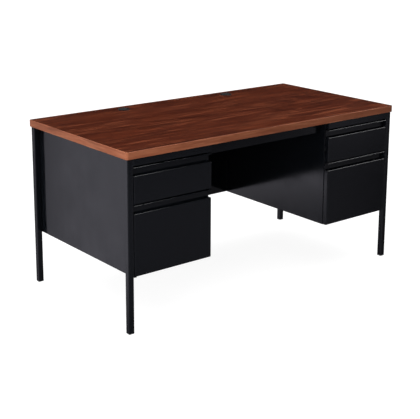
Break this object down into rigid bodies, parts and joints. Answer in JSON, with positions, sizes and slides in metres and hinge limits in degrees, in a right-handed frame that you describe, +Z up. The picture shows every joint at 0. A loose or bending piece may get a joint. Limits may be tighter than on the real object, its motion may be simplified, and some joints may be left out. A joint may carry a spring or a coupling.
{
  "type": "teacher desk",
  "caption": "Steel teacher desk with a wood-grain laminate top, a box and a file drawer in each pedestal, a kneehole with a modesty panel, and cable grommets.",
  "frame": {"origin": "on the floor, under the middle of the worktop", "axes": "+X along the desk's width to the sitter's right, +Y from the drawer fronts to the modesty panel, +Z up"},
  "size_m": [1.524, 0.762, 0.7533],
  "materials": {
    "walnut_laminate": "satin",
    "edge_band": "satin",
    "particleboard": "raw",
    "backer_sheet": "matte",
    "black_paint": "powder coat, semi-gloss",
    "drawer_steel": "powder coat, satin",
    "slide_steel": "zinc plated",
    "bearing_cage": "bright",
    "zinc_screws": "zinc plated",
    "black_plastic": "moulded",
    "glide_plastic": "moulded"
  },
  "bodies": {
    "desk": {"worktop_core": "particleboard", "worktop_laminate": "walnut_laminate", "worktop_backer": "backer_sheet", "edge_band": "edge_band", "worktop_screws": "zinc_screws", "leg_front_left": "black_paint", "leg_front_right": "black_paint", "leg_rear_left": "black_paint", "leg_rear_right": "black_paint", "leg_glides": "glide_plastic", "kneehole_rail": "black_paint", "modesty_panel": "black_paint", "grommet_sleeve_left": "black_plastic", "end_panel_left": "black_paint", "inner_panel_left": "black_paint", "pedestal_back_left": "black_paint", "pedestal_base_left": "black_paint", "header_rail_left": "black_paint", "divider_rail_left": "black_paint", "box_slide_fixed_left": "slide_steel", "file_slide_fixed_left": "slide_steel", "grommet_sleeve_right": "black_plastic", "end_panel_right": "black_paint", "inner_panel_right": "black_paint", "pedestal_back_right": "black_paint", "pedestal_base_right": "black_paint", "header_rail_right": "black_paint", "divider_rail_right": "black_paint", "box_slide_fixed_right": "slide_steel", "file_slide_fixed_right": "slide_steel"},
    "grommet_cap_left": {"grommet_cap_left": "black_plastic"},
    "box_drawer_left": {"box_front_panel_left": "black_paint", "box_inner_front_left": "black_paint", "box_tray_left": "drawer_steel", "box_back_wall_left": "drawer_steel", "box_slide_runner_left": "slide_steel"},
    "box_ball_cages_left": {"box_slide_cage_left": "bearing_cage"},
    "file_drawer_left": {"file_front_panel_left": "black_paint", "file_inner_front_left": "black_paint", "file_tray_left": "drawer_steel", "file_back_wall_left": "drawer_steel", "file_hanging_rails_left": "slide_steel", "file_slide_runner_left": "slide_steel"},
    "file_middle_slides_left": {"file_slide_middle_left": "slide_steel"},
    "grommet_cap_right": {"grommet_cap_right": "black_plastic"},
    "box_drawer_right": {"box_front_panel_right": "black_paint", "box_inner_front_right": "black_paint", "box_tray_right": "drawer_steel", "box_back_wall_right": "drawer_steel", "box_slide_runner_right": "slide_steel"},
    "box_ball_cages_right": {"box_slide_cage_right": "bearing_cage"},
    "file_drawer_right": {"file_front_panel_right": "black_paint", "file_inner_front_right": "black_paint", "file_tray_right": "drawer_steel", "file_back_wall_right": "drawer_steel", "file_hanging_rails_right": "slide_steel", "file_slide_runner_right": "slide_steel"},
    "file_middle_slides_right": {"file_slide_middle_right": "slide_steel"}
  },
  "joints": [
    {"name": "box_drawer_left_slide", "type": "slide", "parent": "desk", "child": "box_drawer_left", "axis": [0, -1, 0], "range_m": [0, 0.45]},
    {"name": "box_cages_left_slide", "type": "slide", "parent": "desk", "child": "box_ball_cages_left", "axis": [0, -1, 0], "range_m": [0, 0.225]},
    {"name": "file_drawer_left_slide", "type": "slide", "parent": "desk", "child": "file_drawer_left", "axis": [0, -1, 0], "range_m": [0, 0.6]},
    {"name": "file_middle_left_slide", "type": "slide", "parent": "desk", "child": "file_middle_slides_left", "axis": [0, -1, 0], "range_m": [0, 0.3]},
    {"name": "grommet_cap_left_turn", "type": "hinge", "parent": "desk", "child": "grommet_cap_left", "pos_m": [-0.306, 0.312, 0.7513], "axis": [0, 0, 1], "continuous": true},
    {"name": "box_drawer_right_slide", "type": "slide", "parent": "desk", "child": "box_drawer_right", "axis": [0, -1, 0], "range_m": [0, 0.45]},
    {"name": "box_cages_right_slide", "type": "slide", "parent": "desk", "child": "box_ball_cages_right", "axis": [0, -1, 0], "range_m": [0, 0.225]},
    {"name": "file_drawer_right_slide", "type": "slide", "parent": "desk", "child": "file_drawer_right", "axis": [0, -1, 0], "range_m": [0, 0.6]},
    {"name": "file_middle_right_slide", "type": "slide", "parent": "desk", "child": "file_middle_slides_right", "axis": [0, -1, 0], "range_m": [0, 0.3]},
    {"name": "grommet_cap_right_turn", "type": "hinge", "parent": "desk", "child": "grommet_cap_right", "pos_m": [0.306, 0.312, 0.7513], "axis": [0, 0, 1], "continuous": true}
  ],
  "couplings": [
    {"joint": "box_cages_left_slide", "follows": "box_drawer_left_slide", "ratio": 0.5},
    {"joint": "file_middle_left_slide", "follows": "file_drawer_left_slide", "ratio": 0.5},
    {"joint": "box_cages_right_slide", "follows": "box_drawer_right_slide", "ratio": 0.5},
    {"joint": "file_middle_right_slide", "follows": "file_drawer_right_slide", "ratio": 0.5}
  ]
}
